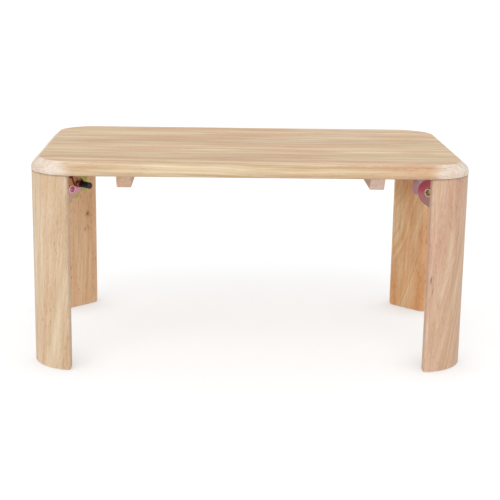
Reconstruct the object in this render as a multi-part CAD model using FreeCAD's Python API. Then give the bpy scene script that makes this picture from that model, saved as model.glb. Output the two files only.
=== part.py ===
import FreeCAD, Part
import math
import os

from FreeCAD import Placement, Rotation, Vector

# Folding coffee table of solid rubberwood, in millimetres. The origin is on the floor under
# the middle of the table, +X runs along the table, +Y goes to its back and +Z is up.

# Tabletop: a glued panel with round corners and an upper edge that is rounded up to a crisp
# arris, above a plumb strip
top_length = 750.0
top_width = 450.0
table_height = 360.0
top_thickness = 22.0
corner_radius = 80.0
edge_inset = 14.0
edge_strip = 4.0
edge_arris_deg = 40.0
under_round = 1.0

# Legs: outer face round like the corner of the top, inner face flat across the corner. Each
# is sanded from its own plank, so they reach round the corner by a few mm more or less
front_left_leg_reach = 69.5
front_right_leg_reach = 74.0
back_right_leg_reach = 73.5
back_left_leg_reach = 74.5
leg_thickness = 34.0
leg_step_back = 0.5
leg_top_gap = 0.8
leg_outer_round = 4.5
leg_inner_round = 3.0
leg_foot_round = 2.0
leg_top_round = 0.6

# Battens across the underside
batten_width = 25.0
batten_height = 30.0
batten_length = 360.0
batten_bevel = 20.0
batten_from_end = 158.5
batten_round = 2.0
batten_screw_depth = 14.0
batten_screw_grip = 12.0
batten_screw_shares = (-0.34, 0.0, 0.34)

# Folding brackets: pressed plates, pivot and edges of the plates
plate_thickness = 2.0
web_half_width = 8.5
side_clearance = 0.3
pivot_from_leg = 22.0
cheek_radius = 21.8
lock_cheek_radius = 19.4
cheek_slope_deg = 24.0
ear_half_width = 28.0
ear_corner = 5.0
leg_plate_up = 29.0
leg_plate_down = 36.0
top_plate_out = 16.0
top_plate_in = 34.5
web_below = 6.5
web_corner = 5.0
web_eye_radius = 13.0
front_fold_deg = 96.0
back_fold_deg = 85.0

# Hollow rivet that the leg turns on
rivet_radius = 5.8
rivet_bore_radius = 5.0
rivet_flange_radius = 7.5
rivet_flange = 1.0
rivet_flange_round = 0.5
running_clearance = 0.05
end_clearance = 0.1

# Lock lever, its pin, its finger end and the stud that its spring presses on
pin_radius = 2.5
pin_clearance = 0.35
pin_angle_deg = 16.7
notch_clearance = 0.3
lever_locked_deg = -8.0
lever_pivot_angle_deg = 81.0
lever_round = 5.0
lever_tip_round = 5.5
lever_headroom = 0.8
stud_reach = 17.3
stud_angle_deg = -69.7
stud_radius = 2.5
stud_length = 2.0
stud_head_radius = 4.0
stud_head = 1.4
stud_head_round = 1.0
finger_length = 16.0

# Rivet and torsion spring of the lever
lever_rivet_radius = 2.2
lever_shoulder_radius = 2.8
shoulder_clearance = 0.4
lever_rivet_head_radius = 4.0
lever_rivet_head = 1.2
lever_rivet_head_round = 0.8
wire_diameter = 0.8
wire_gap = 0.6
spring_turns = 2
spring_play = 0.4
spring_arm = 6.0
spring_arm_rise_deg = 14.0
spring_rest_gap = 0.8

# Rubber cap on the lever's finger
cap_radius = 5.5
cap_length = 19.0
cap_end_round = 1.6
cap_mouth_round = 0.6

# Screws
screw_radius = 2.0
screw_grip = 14.0
screw_point = 3.0
screw_head_radius = 3.8
screw_head = 2.2
screw_head_round = 1.4
screw_slot_width = 1.1
screw_slot_length = 4.6
screw_slot_depth = 1.2
screw_hole_clearance = 0.05
top_plate_screw_out = 8.0
top_plate_screw_in = 27.0
leg_plate_screw_up = 21.0
leg_plate_screw_down = 27.0
ear_screw_aside = 19.5

# Overrun of cuts
cut_over = 3.0

# Each corner of the table, with the direction that leads inward from it
corners = {
    "front_left": (-1, -1, 45.0),
    "front_right": (1, -1, 135.0),
    "back_right": (1, 1, 225.0),
    "back_left": (-1, 1, 315.0),
}
leg_reaches = {
    "front_left": front_left_leg_reach,
    "front_right": front_right_leg_reach,
    "back_right": back_right_leg_reach,
    "back_left": back_left_leg_reach,
}

# Places worked out from the sizes, in the frame of one corner: x leads inward from the pivot,
# y runs along the pivot and z is up from the pivot, or from the floor where it says height
diagonal_share = math.sqrt(1 / 2)
underside = table_height - top_thickness
edge_drop = top_thickness - edge_strip
leg_radius = corner_radius - leg_step_back
leg_face_from_corner = corner_radius / diagonal_share - leg_radius + leg_thickness
pivot_from_corner = leg_face_from_corner + pivot_from_leg
cheek_inner = web_half_width + side_clearance
cheek_outer = cheek_inner + plate_thickness
rivet_end = cheek_outer + end_clearance + rivet_flange
lever_near = rivet_end + side_clearance
lever_far = lever_near + plate_thickness
lever_pivot_orbit = cheek_radius + lever_shoulder_radius + shoulder_clearance
pin_orbit = lock_cheek_radius + pin_radius + pin_clearance
pivot_drop = (lever_pivot_orbit * math.sin(math.radians(lever_pivot_angle_deg))
              + lever_round + lever_headroom + plate_thickness)
pivot_height = underside - pivot_drop
plate_under = pivot_drop - plate_thickness


def polar(radius, degrees):
    """Point of the corner's x-z plane at a distance and an angle from the pivot."""
    angle = math.radians(degrees)
    return (radius * math.cos(angle), radius * math.sin(angle))


def turned(point, centre, degrees):
    """Point of the x-z plane turned about a centre, from x towards z."""
    angle = math.radians(degrees)
    dx = point[0] - centre[0]
    dz = point[1] - centre[1]
    return (centre[0] + dx * math.cos(angle) - dz * math.sin(angle),
            centre[1] + dx * math.sin(angle) + dz * math.cos(angle))


lever_pivot = polar(lever_pivot_orbit, lever_pivot_angle_deg)
pin_place = polar(pin_orbit, pin_angle_deg)
pin_locked = turned(pin_place, lever_pivot, lever_locked_deg)
stud_arm = polar(stud_reach, stud_angle_deg)
stud_place = (lever_pivot[0] + stud_arm[0], lever_pivot[1] + stud_arm[1])


def upright(points, y_from, y_to):
    """Plate of an outline in the x-z plane, from one y to another. Two points are joined by
    a line, and a point given with a middle point before it is joined by an arc."""
    edges = []
    last = points[0]
    middle = None
    for point in points[1:] + [points[0]]:
        if len(point) == 3:
            middle = point
            continue
        start = Vector(last[0], y_from, last[1])
        end = Vector(point[0], y_from, point[1])
        if middle is None:
            edges.append(Part.makeLine(start, end))
        else:
            edges.append(Part.Arc(start, Vector(middle[0], y_from, middle[1]), end).toShape())
        last = point
        middle = None
    face = Part.Face(Part.Wire(edges))
    return face.extrude(Vector(0, y_to - y_from, 0))


def via(point):
    """Middle point of an arc in an outline."""
    return (point[0], point[1], "via")


def rod(place, radius, y_from, y_to):
    """Round bar along y at a place of the x-z plane."""
    return Part.makeCylinder(radius, abs(y_to - y_from), Vector(place[0], min(y_from, y_to), place[1]),
                             Vector(0, 1, 0))


def box(x_from, x_to, y_from, y_to, z_from, z_to):
    """Box between two opposite corners."""
    return Part.makeBox(x_to - x_from, y_to - y_from, z_to - z_from, Vector(x_from, y_from, z_from))


def edges_along(shape, direction):
    """Straight edges of a shape that run along a direction."""
    found = []
    for edge in shape.Edges:
        if isinstance(edge.Curve, Part.Line):
            way = edge.tangentAt(edge.FirstParameter)
            if abs(abs(way.dot(direction)) - 1) < 1e-6:
                found.append(edge)
    return found


def end_circle(shape, y_at):
    """Largest round edge of a shape at one y."""
    rings = [edge for edge in shape.Edges
             if isinstance(edge.Curve, Part.Circle) and abs(edge.CenterOfMass.y - y_at) < 1e-6]
    return max(rings, key=lambda edge: edge.Curve.Radius)


def screw(grip):
    """Pan-head screw with a cross slot. Its head stands below z = 0 and its shank goes up."""
    head = Part.makeCylinder(screw_head_radius, screw_head, Vector(0, 0, -screw_head))
    rim = [edge for edge in head.Edges if abs(edge.CenterOfMass.z + screw_head) < 1e-6]
    head = head.makeFillet(screw_head_round, rim)
    for turn in (0.0, 90.0):
        slot = box(-screw_slot_length / 2, screw_slot_length / 2, -screw_slot_width / 2,
                   screw_slot_width / 2, -screw_head - cut_over, -screw_head + screw_slot_depth)
        slot.rotate(Vector(0, 0, 0), Vector(0, 0, 1), turn)
        head = head.cut(slot)
    shank = Part.makeCylinder(screw_radius, grip - screw_point)
    point = Part.makeCone(screw_radius, 0, screw_point, Vector(0, 0, grip - screw_point))
    return head.fuse([shank, point]).removeSplitter()


def screw_hole(grip):
    """Hole that a screw of this grip fills."""
    return Part.makeCylinder(screw_radius + screw_hole_clearance, grip + screw_hole_clearance)


def placed(shape, position, direction):
    """Copy of a shape made along +Z, turned to a direction and moved to a position."""
    copy = shape.copy()
    copy.Placement = Placement(position, Rotation(Vector(0, 0, 1), direction))
    return copy


def biarc(start, start_way, end, end_way):
    """Two tangent arcs from one point and direction to another."""
    chord = end - start
    ways = start_way + end_way
    square = 2 * (1 - start_way.dot(end_way))
    linear = chord.dot(ways)
    if square < 1e-12:
        reach = chord.dot(chord) / (2 * linear)
    else:
        reach = (-linear + math.sqrt(linear * linear + square * chord.dot(chord))) / square
    joint = (start + start_way * reach + end - end_way * reach) * 0.5
    edges = []
    for first, corner, last in ((start, start + start_way * reach, joint),
                                (joint, end - end_way * reach, end)):
        half = (last - first).Length / 2
        base = (first + last) * 0.5
        rise = corner - base
        lean = math.atan2(rise.Length, half)
        middle = base + rise.normalize() * (half * math.tan(lean / 2))
        edges.append(Part.Arc(first, middle, last).toShape())
    return edges


def make_tabletop(screw_places):
    """Panel with round corners. Its upper edge rises in two tangent arcs, and meets the flat face
    at so steep a slope that a crisp arris is left around it."""
    half_x = top_length / 2
    half_y = top_width / 2
    block = box(-half_x, half_x, -half_y, half_y, underside, table_height)
    block = block.makeFillet(corner_radius, edges_along(block, Vector(0, 0, 1)))
    lower = [edge for edge in block.Edges if abs(edge.BoundBox.ZMax - underside) < 1e-6]
    block = block.makeFillet(under_round, lower)

    slope = math.radians(edge_arris_deg)
    low = Vector(0, -half_y, table_height - edge_drop)
    arris = Vector(0, -half_y + edge_inset, table_height)
    crown = biarc(low, Vector(0, 0, 1), arris, Vector(0, math.cos(slope), math.sin(slope)))
    outline = [arris, arris + Vector(0, 0, cut_over),
               Vector(0, -half_y - cut_over, table_height + cut_over),
               low - Vector(0, cut_over, 0), low]
    lines = [Part.makeLine(a, b) for a, b in zip(outline, outline[1:])]
    profile = Part.Wire(crown + lines)

    rim = box(-half_x, half_x, -half_y, half_y, table_height - edge_drop, table_height)
    rim = rim.makeFillet(corner_radius, edges_along(rim, Vector(0, 0, 1)))
    path = [edge for edge in rim.Edges if abs(edge.BoundBox.ZMax - table_height + edge_drop) < 1e-6]
    front = [edge for edge in path
             if isinstance(edge.Curve, Part.Line) and abs(edge.CenterOfMass.y + half_y) < 1e-6][0]
    rest = [edge for edge in path if not edge.isSame(front)]
    middle = Vector(0, -half_y, table_height - edge_drop)
    half_edges = [Part.makeLine(middle, vertex.Point) for vertex in front.Vertexes]
    spine = Part.Wire(Part.__sortEdges__([half_edges[0]] + rest + [half_edges[1]]))
    cutter = spine.makePipeShell([profile], True, False)
    top = block.cut(cutter)
    for place, grip in screw_places:
        top = top.cut(placed(screw_hole(grip), place, Vector(0, 0, 1)))
    return top


def make_batten(side):
    """Batten with bevelled ends, and the screws that hold it up from below."""
    middle_x = side * (top_length / 2 - batten_from_end)
    half = batten_length / 2
    bottom = underside - batten_height
    points = [Vector(middle_x - batten_width / 2, -half, underside),
              Vector(middle_x - batten_width / 2, half, underside),
              Vector(middle_x - batten_width / 2, half - batten_bevel, bottom),
              Vector(middle_x - batten_width / 2, -half + batten_bevel, bottom)]
    face = Part.Face(Part.makePolygon(points + [points[0]]))
    batten = face.extrude(Vector(batten_width, 0, 0))
    lower = [edge for edge in edges_along(batten, Vector(0, 1, 0))
             if abs(edge.CenterOfMass.z - bottom) < 1e-6]
    batten = batten.makeFillet(batten_round, lower)
    grip = batten_height - batten_screw_depth + batten_screw_grip
    seat = bottom + batten_screw_depth
    screws = []
    for share in batten_screw_shares:
        place = Vector(middle_x, share * batten_length, seat)
        mouth = place - Vector(0, 0, batten_screw_depth + cut_over)
        well = Part.makeCylinder(screw_head_radius + running_clearance * 2,
                                 batten_screw_depth + cut_over, mouth)
        batten = batten.cut(well).cut(placed(screw_hole(grip), place, Vector(0, 0, 1)))
        screws.append(placed(screw(grip), place, Vector(0, 0, 1)))
    holes = [(Vector(middle_x, share * batten_length, underside), batten_screw_grip)
             for share in batten_screw_shares]
    return batten, Part.makeCompound(screws), holes


def leg_plate_screw_places():
    """Places of the leg plate's screws, on the face of the plate, from the pivot."""
    face_x = -pivot_from_leg + plate_thickness
    return [Vector(face_x, side * ear_screw_aside, height)
            for side in (-1, 1) for height in (leg_plate_screw_up, -leg_plate_screw_down)]


def top_plate_screw_places():
    """Places of the top plate's screws, on the face of the plate, from the pivot."""
    return [Vector(out, side * ear_screw_aside, plate_under)
            for side in (-1, 1) for out in (-top_plate_screw_out, top_plate_screw_in)]


def make_leg(leg_reach):
    """Leg in the frame of its corner: an arc outside that reaches leg_reach along both edges
    of the top, a flat inner face and two end faces."""
    start = -pivot_from_corner
    side = corner_radius - math.sqrt(leg_radius ** 2 - (corner_radius - leg_reach) ** 2)
    outer_x = start + (side + leg_reach) * diagonal_share
    outer_y = (leg_reach - side) * diagonal_share
    inner_x = -pivot_from_leg
    inner_y = leg_reach / diagonal_share - leg_face_from_corner
    back_x = start + corner_radius / diagonal_share - leg_radius
    low = -pivot_height
    length = underside - leg_top_gap
    points = [Vector(inner_x, -inner_y, low), Vector(inner_x, inner_y, low),
              Vector(outer_x, outer_y, low), Vector(outer_x, -outer_y, low)]
    edges = [Part.makeLine(points[0], points[1]),
             Part.makeLine(points[1], points[2]),
             Part.Arc(points[2], Vector(back_x, 0, low), points[3]).toShape(),
             Part.makeLine(points[3], points[0])]
    leg = Part.Face(Part.Wire(edges)).extrude(Vector(0, 0, length))
    upright_edges = edges_along(leg, Vector(0, 0, 1))
    outer = [edge for edge in upright_edges if abs(edge.CenterOfMass.x - outer_x) < 1e-6]
    leg = leg.makeFillet(leg_outer_round, outer)
    inner = [edge for edge in edges_along(leg, Vector(0, 0, 1))
             if abs(edge.CenterOfMass.x - inner_x) < 1e-6 and abs(abs(edge.CenterOfMass.y) - inner_y) < 1e-6]
    leg = leg.makeFillet(leg_inner_round, inner)
    foot = [edge for edge in leg.Edges if abs(edge.BoundBox.ZMax - low) < 1e-6]
    leg = leg.makeFillet(leg_foot_round, foot)
    crown = [edge for edge in leg.Edges if abs(edge.BoundBox.ZMin - low - length) < 1e-6]
    leg = leg.makeFillet(leg_top_round, crown)
    for place in leg_plate_screw_places():
        leg = leg.cut(placed(screw_hole(screw_grip), place, Vector(-1, 0, 0)))
    return leg


def make_ear_plate(x_from, x_to, z_from, z_to, direction):
    """Flat base plate with ears at both sides and round corners."""
    plate = box(x_from, x_to, -ear_half_width, ear_half_width, z_from, z_to)
    return plate.makeFillet(ear_corner, edges_along(plate, direction))


def make_top_plate():
    """Plate under the top with two webs that hold the pivot rivet between them."""
    plate = make_ear_plate(-top_plate_out, top_plate_in, plate_under, pivot_drop, Vector(0, 0, 1))
    foot_x = math.sqrt(web_eye_radius ** 2 - web_below ** 2)
    outline = [(-web_eye_radius, plate_under), (-web_eye_radius, 0),
               via(polar(web_eye_radius, -135.0)), (foot_x, -web_below),
               (top_plate_in - web_corner, -web_below),
               via((top_plate_in - web_corner + web_corner * diagonal_share,
                    -web_below + web_corner - web_corner * diagonal_share)),
               (top_plate_in, -web_below + web_corner), (top_plate_in, plate_under)]
    for side in (-1, 1):
        outer = side * web_half_width
        inner = side * (web_half_width - plate_thickness)
        plate = plate.fuse(upright(outline, min(outer, inner), max(outer, inner)))
    plate = plate.removeSplitter()
    plate = plate.cut(rod((0, 0), rivet_radius + running_clearance, -cheek_outer, cheek_outer))
    plate = plate.cut(rod(lever_pivot, lever_rivet_radius + running_clearance, -cheek_outer, 0))
    for place in top_plate_screw_places():
        plate = plate.cut(placed(screw_hole(screw_grip), place, Vector(0, 0, 1)))
    return plate


def cheek_outline(radius):
    """Cheek with a round head and a lower edge that slopes back to the leg."""
    face_x = -pivot_from_leg + plate_thickness / 2
    slope = math.radians(cheek_slope_deg)
    low = -(radius - face_x * math.sin(slope)) / math.cos(slope)
    return [(face_x, low), polar(radius, cheek_slope_deg - 90.0),
            via(polar(radius, cheek_slope_deg / 2)), (0, radius), (face_x, radius)]


def make_leg_plate():
    """Plate on the leg with two cheeks outside the webs. The rim of the cheek beside the lever
    has a notch for the open leg and a wide one for the folded leg."""
    face_x = -pivot_from_leg
    plate = make_ear_plate(face_x, face_x + plate_thickness, -leg_plate_down, leg_plate_up,
                           Vector(1, 0, 0))
    lock_cheek = upright(cheek_outline(lock_cheek_radius), -cheek_outer, -cheek_inner)
    notch_radius = pin_radius + notch_clearance
    way = math.degrees(math.atan2(pin_place[1] - pin_locked[1], pin_place[0] - pin_locked[0]))
    side = polar(notch_radius, way + 90.0)
    out = polar(lock_cheek_radius, way)
    strip = [(pin_locked[0] + side[0], pin_locked[1] + side[1]),
             (pin_locked[0] - side[0], pin_locked[1] - side[1]),
             (pin_locked[0] - side[0] + out[0], pin_locked[1] - side[1] + out[1]),
             (pin_locked[0] + side[0] + out[0], pin_locked[1] + side[1] + out[1])]
    y_cut = (-cheek_outer - side_clearance, -cheek_inner + side_clearance)
    open_notch = upright(strip, *y_cut).fuse(rod(pin_locked, notch_radius, *y_cut))

    locked_orbit = math.hypot(*pin_locked)
    locked_angle = math.degrees(math.atan2(pin_locked[1], pin_locked[0]))
    low_angle = locked_angle - math.degrees(math.asin(notch_radius / locked_orbit)) - front_fold_deg
    high_angle = pin_angle_deg + math.degrees(math.asin(notch_radius / pin_orbit)) - back_fold_deg
    inner = locked_orbit - notch_radius
    outer = lock_cheek_radius + pin_orbit - inner
    mid_angle = (low_angle + high_angle) / 2
    sector = [polar(inner, low_angle), via(polar(inner, mid_angle)), polar(inner, high_angle),
              polar(outer, high_angle), via(polar(outer, mid_angle)), polar(outer, low_angle)]
    folded_notch = upright(sector, *y_cut)
    lock_cheek = lock_cheek.cut(open_notch).cut(folded_notch)
    plain_cheek = upright(cheek_outline(cheek_radius), cheek_inner, cheek_outer)
    plate = plate.fuse([lock_cheek, plain_cheek]).removeSplitter()
    plate = plate.cut(rod((0, 0), rivet_radius + running_clearance, -rivet_end, rivet_end))
    for place in leg_plate_screw_places():
        plate = plate.cut(placed(screw_hole(screw_grip), place, Vector(-1, 0, 0)))
    return plate


def make_pivot_rivet():
    """Hollow rivet through cheeks and webs, with a turned-over rim at each end."""
    inner = rivet_end - rivet_flange
    rivet = rod((0, 0), rivet_radius, -rivet_end, rivet_end)
    for side in (-1, 1):
        flange = rod((0, 0), rivet_flange_radius, side * inner, side * rivet_end)
        flange = flange.makeFillet(rivet_flange_round, [end_circle(flange, side * rivet_end)])
        rivet = rivet.fuse(flange)
    rivet = rivet.cut(rod((0, 0), rivet_bore_radius, -rivet_end - cut_over, rivet_end + cut_over))
    return rivet.removeSplitter()


def make_lever():
    """Flat lever between its rivet, the stud and the pin. The pin reaches in to the cheek's
    rim and out as a finger for the cap."""
    corners_of_hull = [(lever_pivot, lever_round), (stud_place, lever_round), (pin_place, lever_tip_round)]
    lever = None
    for (here, here_r), (there, there_r) in zip(corners_of_hull, corners_of_hull[1:] + corners_of_hull[:1]):
        span = math.hypot(there[0] - here[0], there[1] - here[1])
        way = math.degrees(math.atan2(there[1] - here[1], there[0] - here[0]))
        lean = math.degrees(math.acos((here_r - there_r) / span))
        tangents = []
        for sign in (1, -1):
            side_here = polar(here_r, way + sign * lean)
            side_there = polar(there_r, way + sign * lean)
            tangents.append(((here[0] + side_here[0], here[1] + side_here[1]),
                             (there[0] + side_there[0], there[1] + side_there[1])))
        band = upright([tangents[0][0], tangents[0][1], tangents[1][1], tangents[1][0]],
                       -lever_far, -lever_near)
        band = band.fuse(rod(here, here_r, -lever_far, -lever_near))
        lever = band if lever is None else lever.fuse(band)
    middle = upright([lever_pivot, pin_place, stud_place], -lever_far, -lever_near)
    lever = lever.fuse(middle)
    pin = rod(pin_place, pin_radius, -lever_far - finger_length, -cheek_inner)
    stud = rod(stud_place, stud_radius, -lever_far - stud_length, -lever_far)
    head_end = -lever_far - stud_length - stud_head
    head = rod(stud_place, stud_head_radius, head_end, -lever_far - stud_length)
    head = head.makeFillet(stud_head_round, [end_circle(head, head_end)])
    lever = lever.fuse([pin, stud, head]).removeSplitter()
    return lever.cut(rod(lever_pivot, lever_rivet_radius + running_clearance,
                         -lever_far - side_clearance, -lever_near + side_clearance))


coil_radius = lever_rivet_radius + spring_play + wire_diameter / 2
coil_start = lever_far + end_clearance + wire_diameter / 2
stud_way = math.degrees(math.atan2(stud_arm[1], stud_arm[0]))
bear_radius = stud_radius + spring_rest_gap + wire_diameter / 2
lean_deg = math.degrees(math.acos((coil_radius - bear_radius) / stud_reach))
free_angle = stud_way + lean_deg
fixed_angle = 90.0 - spring_arm_rise_deg
coil_turn = 360.0 * spring_turns + fixed_angle - free_angle
coil_rise = wire_diameter + wire_gap
coil_end = coil_start + coil_rise * coil_turn / 360.0


def make_lever_rivet():
    """Shouldered rivet from the web out to the lever, with a head over the spring."""
    tail = -web_half_width + plate_thickness
    head_near = -coil_end - wire_diameter / 2 - end_clearance
    head_end = head_near - lever_rivet_head
    tail_head = rod(lever_pivot, lever_rivet_head_radius, tail, tail + lever_rivet_head)
    shank = rod(lever_pivot, lever_rivet_radius, head_end, tail)
    shoulder = rod(lever_pivot, lever_shoulder_radius, -lever_near + end_clearance, -web_half_width)
    head = rod(lever_pivot, lever_rivet_head_radius, head_end, head_near)
    head = head.makeFillet(lever_rivet_head_round, [end_circle(head, head_end)])
    return shank.fuse([tail_head, shoulder, head]).removeSplitter()


def helix_point(degrees):
    """Point and direction of the spring's wire where it winds around the lever's rivet."""
    turn = math.radians(degrees)
    here = polar(coil_radius, free_angle + degrees)
    rate = coil_rise / 360.0
    point = Vector(lever_pivot[0] + here[0], -coil_start - rate * degrees, lever_pivot[1] + here[1])
    angle = math.radians(free_angle) + turn
    way = Vector(-coil_radius * math.sin(angle), -rate * 180.0 / math.pi, coil_radius * math.cos(angle))
    return point, way.normalize()


def make_spring():
    """Torsion spring: a free arm on the stud, turns around the rivet and a fixed arm that
    bears up against the top plate."""
    first, first_way = helix_point(0.0)
    first_way = Vector(first_way.x, 0, first_way.z).normalize()
    steps = math.ceil(coil_turn / 90.0)
    edges = [Part.makeLine(first - first_way * stud_reach, first)]
    here, way = first, first_way
    for step in range(1, steps + 1):
        there, there_way = helix_point(coil_turn * step / steps)
        if step == steps:
            there_way = Vector(there_way.x, 0, there_way.z).normalize()
        edges.extend(biarc(here, way, there, there_way))
        here, way = there, there_way
    edges.append(Part.makeLine(here, here + way * spring_arm))
    path = Part.Wire(edges)
    start = edges[0].Vertexes[0].Point
    ring = Part.makeCircle(wire_diameter / 2, start, first_way)
    spring = path.makePipeShell([Part.Wire(ring)], True, False)
    expected = math.pi * (wire_diameter / 2) ** 2 * path.Length
    points = path.discretize(Number=400)
    spacing = path.Length / (len(points) - 1)
    skip = int(math.ceil(2 * wire_diameter / spacing)) + 1
    gap = min((points[i] - points[j]).Length
              for i in range(len(points)) for j in range(i + skip, len(points))) - wire_diameter
    print("spring wire length %.1f, least gap %.2f, volume share %.4f"
          % (path.Length, gap, spring.Volume / expected))
    return spring


def make_cap():
    """Rubber cap with a blind bore for the finger."""
    near = -lever_far - end_clearance
    cap = rod(pin_place, cap_radius, near - cap_length, near)
    cap = cap.makeFillet(cap_end_round, [end_circle(cap, near - cap_length)])
    cap = cap.makeFillet(cap_mouth_round, [end_circle(cap, near)])
    return cap.cut(rod(pin_place, pin_radius + running_clearance, near - finger_length, near + cut_over))


def to_corner(shape, corner):
    """Copy of a shape made at the pivot, at one corner of the table."""
    side_x, side_y, turn = corners[corner]
    back = pivot_from_corner * diagonal_share
    position = Vector(side_x * (top_length / 2 - back), side_y * (top_width / 2 - back), pivot_height)
    copy = shape.copy()
    copy.Placement = Placement(position, Rotation(Vector(0, 0, 1), turn)).multiply(copy.Placement)
    return copy


def build():
    """All pieces of the table by name."""
    pieces = {}
    top_holes = []
    for corner in corners:
        for place in top_plate_screw_places():
            mark = to_corner(Part.Vertex(place + Vector(0, 0, plate_thickness)), corner)
            top_holes.append((mark.Point, screw_grip - plate_thickness))
    for name, side in (("left", -1), ("right", 1)):
        batten, screws, holes = make_batten(side)
        pieces["batten_" + name] = batten
        pieces["batten_screws_" + name] = screws
        top_holes.extend(holes)
    pieces["tabletop"] = make_tabletop(top_holes)

    top_plate_screws = [placed(screw(screw_grip), place, Vector(0, 0, 1)) for place in top_plate_screw_places()]
    leg_plate_screws = [placed(screw(screw_grip), place, Vector(-1, 0, 0)) for place in leg_plate_screw_places()]
    at_corner = {
        "top_plate": make_top_plate(),
        "leg_plate": make_leg_plate(),
        "pivot_rivet": make_pivot_rivet(),
        "lock_lever": make_lever(),
        "lever_cap": make_cap(),
        "lever_rivet": make_lever_rivet(),
        "lever_spring": make_spring(),
        "top_plate_screws": Part.makeCompound(top_plate_screws),
        "leg_plate_screws": Part.makeCompound(leg_plate_screws),
    }
    for corner in corners:
        pieces["leg_" + corner] = to_corner(make_leg(leg_reaches[corner]), corner)
        for name, shape in at_corner.items():
            pieces[name + "_" + corner] = to_corner(shape, corner)
    return pieces


os.makedirs("parts", exist_ok=True)
for node, shape in build().items():
    shape.exportStep("parts/" + node + ".step")
    print("%-32s solids %d valid %s volume %.0f" % (node, len(shape.Solids), shape.isValid(), shape.Volume))
side_x, side_y, turn_deg = corners["front_left"]
pivot_back = pivot_from_corner * diagonal_share
print("pivot at front left: %.3f %.3f %.3f" % (side_x * (top_length / 2 - pivot_back),
                                               side_y * (top_width / 2 - pivot_back), pivot_height))
print("lever pivot from pivot: %.3f in, %.3f up" % lever_pivot)
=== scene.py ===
import math

import bpy
import numpy as np
from mathutils import Matrix, Vector


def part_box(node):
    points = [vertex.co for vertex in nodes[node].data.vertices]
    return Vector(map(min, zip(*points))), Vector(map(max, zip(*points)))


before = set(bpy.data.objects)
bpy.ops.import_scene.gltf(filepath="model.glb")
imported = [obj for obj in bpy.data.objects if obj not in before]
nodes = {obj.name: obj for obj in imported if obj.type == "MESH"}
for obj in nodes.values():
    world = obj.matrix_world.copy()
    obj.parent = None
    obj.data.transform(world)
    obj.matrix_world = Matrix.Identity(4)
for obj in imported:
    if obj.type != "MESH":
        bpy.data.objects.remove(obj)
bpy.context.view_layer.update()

# Folding coffee table of solid rubberwood, four legs on locking steel brackets.
# Everything is in metres, on the floor, +X along the table and +Y to its back.
corners = ("front_left", "front_right", "back_right", "back_left")


# Studio: a plain pale floor, one broad soft lamp high at the front and an even white room.
# The floor is white board, and keeps a faint shadow of the table, darkest round its feet.
# It is clear from below, and to the feet that touch it, so that the underside can be seen.
def linear(code):
    """sRGB hex to linear colour: each channel c becomes ((c + 0.055) / 1.055) ** 2.4."""
    channels = [int(code[i:i + 2], 16) / 255 for i in (1, 3, 5)]
    return [c / 12.92 if c <= 0.04045 else ((c + 0.055) / 1.055) ** 2.4 for c in channels] + [1.0]


def add(tree, kind, inputs=(), **settings):
    """Adds one node: settings are its properties, inputs its sockets, each a value or a link."""
    node = tree.nodes.new("ShaderNode" + kind)
    for name, value in settings.items():
        setattr(node, name, value)
    for key, value in dict(inputs).items():
        if isinstance(value, bpy.types.NodeSocket):
            tree.links.new(value, node.inputs[key])
        else:
            node.inputs[key].default_value = value
    return node


def new_material(name):
    """Empty node material and its tree."""
    material = bpy.data.materials.new(name)
    material.use_nodes = True
    material.node_tree.nodes.clear()
    return material, material.node_tree


def background_seen(tree):
    """1 on rays that show the background: straight to the camera, in gloss and through glass."""
    path = add(tree, "LightPath")
    seen = add(tree, "Math", {0: path.outputs["Is Camera Ray"], 1: path.outputs["Is Glossy Ray"]},
               operation="MAXIMUM")
    return add(tree, "Math", {0: seen.outputs[0], 1: path.outputs["Is Transmission Ray"]},
               operation="MAXIMUM").outputs[0]


floor_half = 30.0
white, floor_matt, floor_shaded = linear("#FFFFFF"), linear("#ECECEC"), linear("#C0C1C2")
floor_glow_in_contact, floor_glow_in_the_open = 0.3, 0.585
contact_reach = 0.08
touching_distance = 0.0005
room_strength = 0.7
seen_room_strength = 1.0
lamp_strength = 1.0
lamp_spread_deg = 60.0
lamp_from = Vector((-0.2, -1.0, 0.8))

floor_mesh = bpy.data.meshes.new("floor")
spread = np.array([(-1, -1, 0), (1, -1, 0), (1, 1, 0), (-1, 1, 0)]) * floor_half
floor_mesh.from_pydata(spread.tolist(), [], [(0, 1, 2, 3)])
floor = bpy.data.objects.new("floor", floor_mesh)
bpy.context.collection.objects.link(floor)

white_board, tree = new_material("white_board")
matt = add(tree, "BsdfDiffuse", {"Color": floor_matt})
shaded = add(tree, "BsdfDiffuse", {"Color": floor_shaded})
contact = add(tree, "AmbientOcclusion", {"Distance": contact_reach})
lift = add(tree, "MapRange", {"Value": contact.outputs["AO"], "To Min": floor_glow_in_contact,
                              "To Max": floor_glow_in_the_open})
glow = add(tree, "Emission", {"Color": white, "Strength": lift.outputs[0]})
lifted = add(tree, "AddShader", {0: shaded.outputs[0], 1: glow.outputs[0]})
mixed = add(tree, "MixShader", {0: background_seen(tree), 1: matt.outputs[0], 2: lifted.outputs[0]})
face = add(tree, "NewGeometry")
path = add(tree, "LightPath")
touching = add(tree, "Math", {0: path.outputs["Ray Length"], 1: touching_distance},
               operation="LESS_THAN")
below = add(tree, "Math", {0: face.outputs["Backfacing"], 1: touching.outputs[0]}, operation="MAXIMUM")
clear = add(tree, "BsdfTransparent")
board = add(tree, "MixShader", {0: below.outputs[0], 1: mixed.outputs[0], 2: clear.outputs[0]})
add(tree, "OutputMaterial", {"Surface": board.outputs[0]})
floor_mesh.materials.append(white_board)

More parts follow.
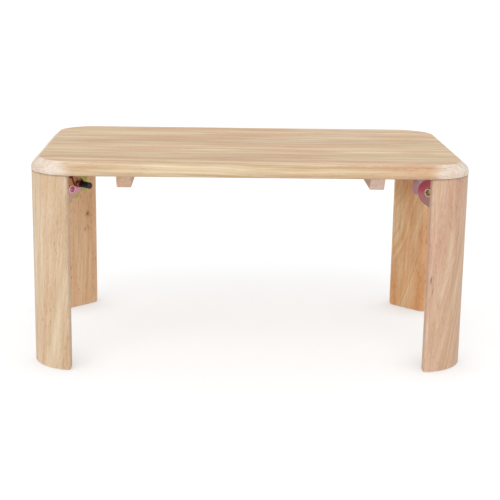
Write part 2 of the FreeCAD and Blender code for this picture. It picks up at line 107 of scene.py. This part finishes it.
world = bpy.data.worlds.new("white_room")
world.use_nodes = True
bpy.context.scene.world = world
tree = world.node_tree
tree.nodes.clear()
strength = add(tree, "MapRange", {"Value": background_seen(tree), "To Min": room_strength,
                                  "To Max": seen_room_strength})
room = add(tree, "Background", {"Color": white, "Strength": strength.outputs[0]})
add(tree, "OutputWorld", {"Surface": room.outputs[0]})

lamp_data = bpy.data.lights.new("soft_lamp", "SUN")
lamp_data.energy = lamp_strength
lamp_data.angle = math.radians(lamp_spread_deg)
lamp = bpy.data.objects.new("soft_lamp", lamp_data)
lamp.matrix_world = lamp_from.to_track_quat("Z", "Y").to_matrix().to_4x4()
bpy.context.collection.objects.link(lamp)

camera_place = Vector((-0.061544, -2.281057, 0.712279))
camera_yaw, camera_pitch, camera_roll = 0.02919, 0.23696, 0.0157
camera_data = bpy.data.cameras.new("camera")
camera_data.sensor_width = 36.0
camera_data.lens = 90.726
camera_data.clip_end = 100.0
camera = bpy.data.objects.new("camera", camera_data)
camera.matrix_world = (Matrix.Translation(camera_place)
                       @ Matrix.Rotation(-camera_yaw, 4, "Z")
                       @ Matrix.Rotation(math.pi / 2 - camera_pitch, 4, "X")
                       @ Matrix.Rotation(camera_roll, 4, "Z"))
bpy.context.collection.objects.link(camera)
bpy.context.scene.camera = camera
bpy.context.scene.view_settings.view_transform = "Standard"


# Tabletop: eight staves of rubberwood glued edge to edge, sanded and given a clear satin
# lacquer. The wood is straw to pink, with soft growth bands and short brown pores.
def dress(names, material):
    """Gives nodes of the model a material."""
    for name in names:
        for holder in nodes[name].material_slots:
            holder.material = material


mm_per_metre = 1000.0
# Each stave lies this much further along its log, and its log's heart elsewhere
stave_shift_mm, heart_spread_mm = 437.0, (0, 70, 60)
seam_mm, seam_depth = 5.0, (0.15, 0.45)
# Sizes of the grain's patterns along and across it, in mm
wander_size, wander_mm = (220, 60), 16.0
patch_size, streak_length, fibre_size, pore_size = (190, 34), 150, (90, 1.5), (10, 1.8)
streak_seed_step, streak_pale, streak_dark = 7.7, (1.07, 1.09, 1.12), (0.95, 0.9, 0.85)
lacquer_relief = 0.0004
gap_shade_rim_height = 0.002


def rubberwood(name, origin, axes, heart, lean, tones, seed, stave=0.0, staves=0, marks=(),
               band_mm=7.0, streak_mm=5.5, streak_edge=0.15, patches=(3.1, 0.38, 0.68),
               pores=(0.16, 0.42), cut_end="#EFDFCF", gap_shade_top=0.0):
    """Sawn wood as a solid pattern. The axes are those along the grain, across the piece and
    out of its face. Growth bands, about band_mm apart, are noise over the distance from the
    log's heart, which lies heart = (across, out) mm away and leans by mm per mm along the
    grain. A stave width in mm starts the log anew for each of so many staves, with a glue line
    between two. Marks are (place mm, size mm, depth, push mm): knots, streaks and painted shade
    that darken the wood and push its bands aside. A low streak_edge makes the streaks crisp, patches
    are (seed, first, last noise) of the pink patches, pores give the share of brown in the least
    and the most porous wood, and cut_end is its end grain. The last argument is the height in metres
    of a top end that is browned as painted shade, for the dark gap under what lies above it."""
    material, tree = new_material(name)
    here = add(tree, "TexCoord")
    moved = add(tree, "VectorMath", {0: here.outputs["Object"], 1: origin}, operation="SUBTRACT")
    parts = [add(tree, "VectorMath", {0: moved.outputs[0], 1: Vector(axis) * mm_per_metre},
                 operation="DOT_PRODUCT") for axis in axes]
    point = add(tree, "CombineXYZ", {i: part.outputs["Value"] for i, part in enumerate(parts)})
    place = point.outputs[0]
    seam = None
    if stave:
        count = add(tree, "Math", {0: parts[1].outputs["Value"], 1: stave}, operation="DIVIDE")
        number = add(tree, "Math", {0: count.outputs[0]}, operation="FLOOR")
        back = add(tree, "CombineXYZ", {0: number.outputs[0], 1: number.outputs[0], 2: 0.0})
        local = add(tree, "VectorMath", {0: back.outputs[0], 1: (stave_shift_mm, -stave, 0), 2: place},
                    operation="MULTIPLY_ADD")
        chance = add(tree, "TexWhiteNoise", {"W": number.outputs[0]}, noise_dimensions="1D")
        offset = add(tree, "VectorMath", {0: chance.outputs["Color"], 1: heart_spread_mm,
                                          2: local.outputs[0]}, operation="MULTIPLY_ADD")
        place = offset.outputs[0]
        within = add(tree, "Math", {0: count.outputs[0]}, operation="FRACT")
        middle = add(tree, "Math", {0: within.outputs[0], 1: 0.5}, operation="SUBTRACT")
        far = add(tree, "Math", {0: middle.outputs[0]}, operation="ABSOLUTE")
        line = add(tree, "Math", {0: count.outputs[0]}, operation="ROUND")
        tight = add(tree, "TexWhiteNoise", {"W": line.outputs[0]}, noise_dimensions="1D")
        inner = add(tree, "Math", {0: line.outputs[0], 1: staves / 2, 2: staves / 2 - 0.5},
                    operation="COMPARE")
        depth = add(tree, "MapRange", {"Value": tight.outputs["Value"], "To Min": seam_depth[0],
                                       "To Max": seam_depth[1]})
        depth = add(tree, "Math", {0: depth.outputs[0], 1: inner.outputs[0]}, operation="MULTIPLY")
        # A glue line of 0.1 mm is drawn 5 mm wide and soft
        seam = add(tree, "MapRange", {"Value": far.outputs[0], "From Min": 0.5 - seam_mm / 2 / stave,
                                      "From Max": 0.5, "To Max": depth.outputs[0]})

    # The log's fibres wander slowly, a few mm over a hand's length
    slow = add(tree, "VectorMath", {0: place, 1: (1 / wander_size[0], 1 / wander_size[1],
                                                  1 / wander_size[1])}, operation="MULTIPLY")
    wander = add(tree, "TexNoise", {"Vector": slow.outputs[0], "W": seed, "Scale": 1.0, "Detail": 2.0},
                 noise_dimensions="4D")
    bent = add(tree, "VectorMath", {0: wander.outputs["Color"], 1: (0, wander_mm, wander_mm), 2: place},
               operation="MULTIPLY_ADD")
    axis_in = add(tree, "VectorMath", {0: bent.outputs[0], 1: (0, heart[0] + wander_mm / 2,
                                                               heart[1] + wander_mm / 2)},
                  operation="SUBTRACT")
    flat = add(tree, "VectorMath", {0: axis_in.outputs[0], 1: (0, 1, 1)}, operation="MULTIPLY")
    radius = add(tree, "VectorMath", {0: flat.outputs[0]}, operation="LENGTH")
    length = add(tree, "SeparateXYZ", {0: place})
    ring = add(tree, "Math", {0: length.outputs[0], 1: lean, 2: radius.outputs["Value"]},
               operation="MULTIPLY_ADD")

    dark = None
    for spot, size, depth, push in marks:
        off = add(tree, "VectorMath", {0: point.outputs[0], 1: spot}, operation="SUBTRACT")
        near = add(tree, "VectorMath", {0: off.outputs[0], 1: size}, operation="DIVIDE")
        reach = add(tree, "VectorMath", {0: near.outputs[0]}, operation="LENGTH")
        fade = add(tree, "MapRange", {"Value": reach.outputs["Value"], "From Min": 1.0,
                                      "From Max": 0.25, "To Max": depth},
                   interpolation_type="SMOOTHSTEP")
        wide = add(tree, "MapRange", {"Value": reach.outputs["Value"], "From Min": 4.5, "To Max": push,
                                      "From Max": 0.0}, interpolation_type="SMOOTHSTEP")
        ring = add(tree, "Math", {0: ring.outputs[0], 1: wide.outputs[0]}, operation="ADD")
        dark = fade if dark is None else add(tree, "Math", {0: dark.outputs[0], 1: fade.outputs[0]},
                                             operation="MAXIMUM")

    # Growth bands and streaks a few mm wide, in patches a hand long. Fibres under
    # a mm wide are drawn 1.5 mm wide and pores of 0.3 mm are drawn 1.8 mm wide
    bands = add(tree, "Math", {0: ring.outputs[0], 1: band_mm}, operation="DIVIDE")
    band = add(tree, "TexNoise", {"W": bands.outputs[0], "Scale": 1.0, "Detail": 3.0,
                                  "Roughness": 0.62}, noise_dimensions="1D")
    band_tone = add(tree, "MapRange", {"Value": band.outputs["Fac"], "From Min": 0.38,
                                       "From Max": 0.62})
    patch_at = add(tree, "VectorMath", {0: place, 1: (1 / patch_size[0], 1 / patch_size[1],
                                                      1 / patch_size[1])}, operation="MULTIPLY")
    patch = add(tree, "TexNoise", {"Vector": patch_at.outputs[0], "W": seed + patches[0], "Scale": 1.0,
                                   "Detail": 3.0}, noise_dimensions="4D")
    patch_tone = add(tree, "MapRange", {"Value": patch.outputs["Fac"], "From Min": patches[1],
                                        "From Max": patches[2]})
    streak_at = add(tree, "VectorMath", {0: bent.outputs[0], 1: (1 / streak_length, 1 / streak_mm,
                                                                 1 / streak_mm)}, operation="MULTIPLY")
    streak = add(tree, "TexNoise", {"Vector": streak_at.outputs[0], "W": seed + streak_seed_step,
                                    "Scale": 1.0, "Detail": 2.0, "Roughness": 0.6},
                 noise_dimensions="4D")
    fibre_at = add(tree, "VectorMath", {0: bent.outputs[0], 1: (1 / fibre_size[0], 1 / fibre_size[1],
                                                                1 / fibre_size[1])},
                   operation="MULTIPLY")
    fibre = add(tree, "TexNoise", {"Vector": fibre_at.outputs[0], "Scale": 1.0, "Detail": 3.0,
                                   "Roughness": 0.6})
    pore_at = add(tree, "VectorMath", {0: bent.outputs[0], 1: (1 / pore_size[0], 1 / pore_size[1],
                                                               1 / pore_size[1])}, operation="MULTIPLY")
    pore = add(tree, "TexNoise", {"Vector": pore_at.outputs[0], "Scale": 1.0, "Detail": 1.0})
    pore_most = add(tree, "MapRange", {"Value": patch.outputs["Fac"], "From Min": 0.4, "From Max": 0.62,
                                       "To Min": pores[0], "To Max": pores[1]})
    pore_depth = add(tree, "MapRange", {"Value": pore.outputs["Fac"], "From Min": 0.58, "From Max": 0.7,
                                        "To Max": pore_most.outputs[0]})

    pale, straw, pink, brown = [linear(tone) for tone in tones]
    wood = add(tree, "Mix", {"Factor": band_tone.outputs[0], 6: pale, 7: straw}, data_type="RGBA")
    wood = add(tree, "Mix", {"Factor": patch_tone.outputs[0], 6: wood.outputs[2], 7: pink},
               data_type="RGBA")

    if gap_shade_top:
        # Painted shade of the gap under the top: a brown rim, 0.5 mm high and drawn 2 mm high and soft
        height = add(tree, "SeparateXYZ", {0: here.outputs["Object"]})
        rim = add(tree, "MapRange", {"Value": height.outputs[2], "From Min": gap_shade_top - gap_shade_rim_height,
                                     "From Max": gap_shade_top, "To Max": 0.9})
        wood = add(tree, "Mix", {"Factor": rim.outputs[0], 6: wood.outputs[2], 7: brown},
                   data_type="RGBA")

    # Cut ends are paler, because they were sanded hard and their open pores hold white dust
    facing = add(tree, "VectorMath", {0: here.outputs["Normal"], 1: axes[0]}, operation="DOT_PRODUCT")
    turned = add(tree, "Math", {0: facing.outputs["Value"]}, operation="ABSOLUTE")
    end = add(tree, "MapRange", {"Value": turned.outputs[0], "From Min": 0.0, "From Max": 0.34,
                                 "To Max": 0.85}, interpolation_type="SMOOTHSTEP")
    wood = add(tree, "Mix", {"Factor": end.outputs[0], 6: wood.outputs[2], 7: linear(cut_end)},
               data_type="RGBA")

    # Fibres, streaks, staves, glue lines, pores and marks lie over both
    vein = add(tree, "MapRange", {"Value": fibre.outputs["Fac"], "From Min": 0.3, "From Max": 0.7,
                                  "To Min": 1.07, "To Max": 0.92})
    wood = add(tree, "VectorMath", {0: wood.outputs[2], 1: vein.outputs[0]}, operation="MULTIPLY")
    stripe = add(tree, "MapRange", {"Value": streak.outputs["Fac"], "From Min": 0.5 - streak_edge,
                                    "From Max": 0.5 + streak_edge})
    stripe = add(tree, "Mix", {"Factor": stripe.outputs[0], 4: streak_pale, 5: streak_dark},
                 data_type="VECTOR")
    tint = add(tree, "VectorMath", {0: wood.outputs[0], 1: stripe.outputs[1]},
               operation="MULTIPLY").outputs[0]
    if stave:
        lift = add(tree, "MapRange", {"Value": chance.outputs["Value"], "To Min": 0.94, "To Max": 1.06})
        tint = add(tree, "VectorMath", {0: tint, 1: lift.outputs[0]}, operation="MULTIPLY").outputs[0]
    for share in (seam, pore_depth, dark):
        if share is not None:
            tint = add(tree, "Mix", {"Factor": share.outputs[0], 6: tint, 7: brown},
                       data_type="RGBA").outputs[2]

    rough = add(tree, "MapRange", {"Value": fibre.outputs["Fac"], "To Min": 0.5, "To Max": 0.64})
    grooves = add(tree, "Math", {0: pore_depth.outputs[0], 1: -0.6, 2: fibre.outputs["Fac"]},
                  operation="MULTIPLY_ADD")
    relief = add(tree, "Bump", {"Height": grooves.outputs[0], "Strength": 0.12,
                                "Distance": lacquer_relief})
    lacquered = add(tree, "BsdfPrincipled", {"Base Color": tint, "Roughness": rough.outputs[0],
                                             "Normal": relief.outputs[0], "IOR": 1.5})
    add(tree, "OutputMaterial", {"Surface": lacquered.outputs[0]})
    return material


# The staves were glued up to 451.2 mm, and 0.6 mm was planed off each long side. The lower
# edge is browned a little as painted shade, where it turns down away from the light, and four
# short streaks run in the face.
glued_half_width_mm = 225.6
stave_width_mm, stave_count = 56.4, 8
top_middle_height = 0.349
# Painted shade: brown along the front lower edge of the top
painted_shade_lower_edge = ((0, 0, -11), (3000, 7, 9), 0.2, 0.0)
face_streaks = (((-105, 33, 11), (60, 2.2, 8), 0.6, 1.0), ((-136, 115, 11), (45, 2, 8), 0.4, 1.0),
                ((179, 353, 11), (70, 2.5, 8), 0.4, 1.0), ((295, 257, 11), (60, 8, 8), 0.25, 1.0))
top_wood = rubberwood("rubberwood_staves", (0, -glued_half_width_mm / mm_per_metre, top_middle_height),
                      ((1, 0, 0), (0, 1, 0), (0, 0, 1)), heart=(10.0, -51.0), lean=0.02,
                      tones=("#E6CFAC", "#D1B68F", "#D5AB87", "#8E5F3A"), seed=2.0,
                      stave=stave_width_mm, staves=stave_count, streak_mm=8.0, streak_edge=0.08,
                      patches=(31.9, 0.42, 0.65), pores=(0.08, 0.3),
                      marks=(painted_shade_lower_edge,) + face_streaks)
dress(["tabletop"], top_wood)


# Legs: each one sawn from a thick plank, shaped to the round of the top's corner, sanded and
# lacquered like the top. Their planks come from different logs, so one is straw, one pink, one
# knotty and one orange. The two back legs' tones are also made paler, as painted light against
# the shade under the top.
outward = {"front_left": Vector((-1, -1, 0)).normalized(),
           "front_right": Vector((1, -1, 0)).normalized(),
           "back_right": Vector((1, 1, 0)).normalized(),
           "back_left": Vector((-1, 1, 0)).normalized()}
leg_from_middle = Vector((0.339, 0.189, 0.169))
# Marks: one side darker, a dark streak in three pieces, an orange head over two swirls, and a
# ringed knot with a small one below it
leg_boards = {
    "front_left": dict(heart=(8.0, -6.0), lean=-0.07, seed=6.0,
                       tones=("#EBD5B6", "#DDC29D", "#DCB995", "#9A6A3E"),
                       marks=(((0, 52, -1), (700, 46, 60), 0.13, 0.0),)),
    "front_right": dict(heart=(-18.0, -8.0), lean=-0.12, seed=8.0,
                        tones=("#E2C3A4", "#D2AC8A", "#D5A790", "#8F5F3F"),
                        marks=(((-8, -46.5, -1), (12, 2.2, 8), 0.85, 1.0),
                               ((-26, -42, -1), (14, 2, 8), 0.7, 1.0),
                               ((-44, -36, -1), (14, 2, 8), 0.55, 1.0))),
    # Painted light: the back legs' tones are paler than their wood, against the shade under the
    # tabletop
    "back_right": dict(heart=(-110.0, 10.0), lean=0.36, seed=11.0, band_mm=17.0,
                       tones=("#FBE0B6", "#F0C494", "#E9AA72", "#B4692A"),
                       marks=(((85, 22, -17), (50, 45, 60), 0.28, 0.0),
                              ((87, 33, -17), (14, 12, 40), 0.15, 30.0),
                              ((-10, 20, -17), (16, 9, 40), 0.08, 12.0))),
    "back_left": dict(heart=(-60.0, 20.0), lean=0.03, seed=14.0,
                      tones=("#FBDAB4", "#F1CCA1", "#F0C298", "#8A4E2C"),
                      marks=(((19, -17, -17), (10, 7, 40), 0.45, 5.0),
                             ((19, -17, -17), (4.6, 3.8, 40), 0.95, 0.0),
                             ((-12, -11, -17), (7, 4, 40), 0.4, 3.0))),
}
leg_turn_deg = {"front_left": -4.0, "front_right": -5.0, "back_right": 0.0, "back_left": 1.0}
for corner in corners:
    out = outward[corner]
    grain = Matrix.Rotation(math.radians(leg_turn_deg[corner]), 3, out) @ Vector((0, 0, 1))
    origin = Vector((math.copysign(leg_from_middle.x, out.x),
                     math.copysign(leg_from_middle.y, out.y), leg_from_middle.z))
    # Each leg's top end is browned as painted shade of the gap under the tabletop
    board = rubberwood("rubberwood_leg_" + corner, origin, (grain, grain.cross(out), out),
                       gap_shade_top=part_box("leg_" + corner)[1].z, **leg_boards[corner])
    dress(["leg_" + corner], board)


# Battens: two strips of the same wood screwed up under the top to keep it flat, with
# bevelled ends that show their end grain to the front.
for hand, seed, cut_end in (("left", 21.0, "#F2CDB0"), ("right", 24.0, "#FAE0D2")):
    low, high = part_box("batten_" + hand)
    strip = rubberwood("rubberwood_batten_" + hand, (low + high) / 2,
                       ((0, 1, 0), (1, 0, 0), (0, 0, 1)), heart=(4.0, -70.0), lean=0.02, seed=seed,
                       cut_end=cut_end, pores=(0.06, 0.2),
                       tones=("#DDBFA3", "#D3B092", "#CFA58A", "#8F6245"))
    dress(["batten_" + hand], strip)


# Brackets: steel plates pressed to shape, zinc plated and dipped in a yellow passivate.
# The film is so thin that it shows pink, crimson, green and mauve clouds over bright zinc.
thinnest_film, thickest_film = 0.3, 0.7
grit_mm, grit_relief = 0.8, 0.0002


def passivated(name, tones, seed, cloud_mm, roughness=0.42, centre=(0, 0, 0), drift=(0, 0, 0)):
    """Zinc under an interference film. The film's thickness picks a tone: it is noise over the
    place, cloud_mm across, plus the place from the centre times the drift, a share of the film
    per metre. The metal's grit of 0.1 mm is drawn 0.8 mm across."""
    material, tree = new_material(name)
    here = add(tree, "TexCoord")
    scaled = add(tree, "VectorMath", {0: here.outputs["Object"], "Scale": mm_per_metre / cloud_mm},
                 operation="SCALE")
    cloud = add(tree, "TexNoise", {"Vector": scaled.outputs[0], "W": seed, "Scale": 1.0, "Detail": 2.0},
                noise_dimensions="4D")
    off = add(tree, "VectorMath", {0: here.outputs["Object"], 1: centre}, operation="SUBTRACT")
    slope = add(tree, "VectorMath", {0: off.outputs[0], 1: drift}, operation="DOT_PRODUCT")
    film = add(tree, "Math", {0: cloud.outputs["Fac"], 1: slope.outputs["Value"]}, operation="ADD")
    ramp = add(tree, "ValToRGB", {"Fac": film.outputs[0]})
    thinnest, thickest = ramp.color_ramp.elements
    thinnest.position, thickest.position = thinnest_film, thickest_film
    thinnest.color, thickest.color = linear(tones[0]), linear(tones[-1])
    steps = np.linspace(thinnest_film, thickest_film, len(tones))
    for step, tone in zip(steps[1:-1], tones[1:-1]):
        ramp.color_ramp.elements.new(step).color = linear(tone)
    grit_at = add(tree, "VectorMath", {0: here.outputs["Object"], "Scale": mm_per_metre / grit_mm},
                  operation="SCALE")
    grit = add(tree, "TexNoise", {"Vector": grit_at.outputs[0], "Scale": 1.0, "Detail": 2.0})
    rough = add(tree, "MapRange", {"Value": grit.outputs["Fac"], "To Min": roughness - 0.06,
                                   "To Max": roughness + 0.08})
    relief = add(tree, "Bump", {"Height": grit.outputs["Fac"], "Strength": 0.1,
                                "Distance": grit_relief})
    metal = add(tree, "BsdfPrincipled", {"Base Color": ramp.outputs["Color"], "Metallic": 1.0,
                                         "Roughness": rough.outputs[0], "Normal": relief.outputs[0]})
    add(tree, "OutputMaterial", {"Surface": metal.outputs[0]})
    return material


leg_plate_films = {
    "front_left": ("#C68E6C", "#D898AC", "#E29CB4", "#D0A0A0", "#B4AC70"),
    "front_right": ("#A8505A", "#B4606C", "#B87078", "#A08478"),
    "back_right": ("#B98A6A", "#B0747C", "#A8A070", "#B98A90"),
    "back_left": ("#C08A7A", "#B9A070", "#C98A9C", "#9BA35A"),
}
top_plate_films = {
    "front_left": ("#D09078", "#C88A80", "#A8AC68", "#B4B86C"),
    "front_right": ("#C49CA8", "#BC909C", "#C0A4A0", "#B08894"),
    "back_right": ("#B4A872", "#B08088", "#A5905C", "#B9A080"),
    "back_left": ("#A8A070", "#B98A90", "#B4B472", "#A6747E"),
}
leg_plate_cloud_mm, top_plate_cloud_mm = 26.0, 30.0
leg_plate_centre_drop, top_plate_centre_step = 0.003, 0.006
leg_plate_drift_up, leg_plate_drift_out, top_plate_drift_out = -18.0, -2.0, -10.0
for number, corner in enumerate(corners):
    low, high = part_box("pivot_rivet_" + corner)
    pivot, out = (low + high) / 2, outward[corner]
    dress(["leg_plate_" + corner],
          passivated("passivated_leg_plate_" + corner, leg_plate_films[corner], 3.0 + number,
                     leg_plate_cloud_mm, centre=pivot - Vector((0, 0, leg_plate_centre_drop)),
                     drift=Vector((0, 0, leg_plate_drift_up)) + leg_plate_drift_out * out))
    dress(["top_plate_" + corner],
          passivated("passivated_top_plate_" + corner, top_plate_films[corner], 9.0 + number,
                     top_plate_cloud_mm, centre=pivot - top_plate_centre_step * out,
                     drift=top_plate_drift_out * out))


# Rivets: a hollow steel rivet that each leg turns on and a solid one for each lever, both
# headed over in a press and passivated like the plates, so their rims look gold or pink.
rivet_films = {
    "front_left": ("#DCA6B6", "#E4B2C0", "#D89EB0"),
    "front_right": ("#A88C68", "#D0BE9C", "#8A6848"),
    "back_right": ("#C8A65E", "#A8844A", "#C08A6A"),
    "back_left": ("#C8A65E", "#B99A62", "#D0A070"),
}
rivet_cloud_mm = 6.0
for number, corner in enumerate(corners):
    dress(["pivot_rivet_" + corner],
          passivated("passivated_hollow_rivet_" + corner, rivet_films[corner], 31.0 + number,
                     rivet_cloud_mm, roughness=0.28))
dress(["lever_rivet_" + corner for corner in corners],
      passivated("passivated_lever_rivet", ("#A05058", "#B06A60", "#C08A5E"), 33.0,
                 rivet_cloud_mm, roughness=0.34))


# Lock levers: blanked from the same steel sheet, with pin and stud riveted in. Their film
# came out darker, orange brown at the outer end and maroon toward the finger. The darkening
# toward the finger is partly the film's own colour and partly painted shade.
lever_film_and_shade = ("#CC9468", "#B07450", "#7C4440", "#6A343C")
lever_cloud_mm, lever_film_and_shade_drift = 12.0, -14.0
for corner in corners:
    low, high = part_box("lock_lever_" + corner)
    dress(["lock_lever_" + corner],
          passivated("passivated_lever_" + corner, lever_film_and_shade, 35.0, lever_cloud_mm,
                     centre=(low + high) / 2, drift=lever_film_and_shade_drift * outward[corner]))


# Finger caps: black rubber tube ends with a moulded matt skin, pushed onto the lever's finger
# so that it is soft to press.
skin_mm, skin_relief = 1.2, 0.0002


def rubber(name, tone, roughness):
    """Moulded rubber: one tone, lifted a little by noise 0.5 mm across, drawn 1.2 mm across."""
    material, tree = new_material(name)
    here = add(tree, "TexCoord")
    scaled = add(tree, "VectorMath", {0: here.outputs["Object"], "Scale": mm_per_metre / skin_mm},
                 operation="SCALE")
    skin = add(tree, "TexNoise", {"Vector": scaled.outputs[0], "Scale": 1.0, "Detail": 2.0})
    lift = add(tree, "MapRange", {"Value": skin.outputs["Fac"], "To Min": 0.8, "To Max": 1.25})
    dusty = add(tree, "VectorMath", {0: linear(tone)[:3], 1: lift.outputs[0]}, operation="MULTIPLY")
    relief = add(tree, "Bump", {"Height": skin.outputs["Fac"], "Strength": 0.2,
                                "Distance": skin_relief})
    skin_shader = add(tree, "BsdfPrincipled", {"Base Color": dusty.outputs[0], "Roughness": roughness,
                                               "Normal": relief.outputs[0], "IOR": 1.52})
    add(tree, "OutputMaterial", {"Surface": skin_shader.outputs[0]})
    return material


dress(["lever_cap_" + corner for corner in corners], rubber("black_rubber", "#26262A", 0.55))


# Lever springs: hard drawn steel wire with a thin film of oil, wound cold. Each one's turns
# sit around the lever's rivet, and its arms press the lever toward the notch.
wire_mottle_mm = 1.0


def drawn_wire(name, tone):
    """Drawn steel: one grey, mottled by noise 0.4 mm across, drawn 1 mm across."""
    material, tree = new_material(name)
    here = add(tree, "TexCoord")
    scaled = add(tree, "VectorMath", {0: here.outputs["Object"],
                                      "Scale": mm_per_metre / wire_mottle_mm}, operation="SCALE")
    mottle = add(tree, "TexNoise", {"Vector": scaled.outputs[0], "Scale": 1.0, "Detail": 2.0})
    lift = add(tree, "MapRange", {"Value": mottle.outputs["Fac"], "To Min": 0.85, "To Max": 1.12})
    grey = add(tree, "VectorMath", {0: linear(tone)[:3], 1: lift.outputs[0]}, operation="MULTIPLY")
    metal = add(tree, "BsdfPrincipled", {"Base Color": grey.outputs[0], "Metallic": 1.0,
                                         "Roughness": 0.32})
    add(tree, "OutputMaterial", {"Surface": metal.outputs[0]})
    return material


dress(["lever_spring_" + corner for corner in corners], drawn_wire("drawn_spring_steel", "#9A9A9E"))


# Screws: steel wood screws with a cross slot in a pan head, driven through the plates' and
# battens' holes into the wood. They are zinc plated and passivated to a warm gold.
screw_names = ["top_plate_screws_" + corner for corner in corners]
screw_names += ["leg_plate_screws_" + corner for corner in corners]
screw_names += ["batten_screws_left", "batten_screws_right"]
screw_cloud_mm = 8.0
dress(screw_names, passivated("passivated_screws", ("#D8BE7C", "#C8A65E", "#D0B08C"), 41.0,
                              screw_cloud_mm, roughness=0.3))
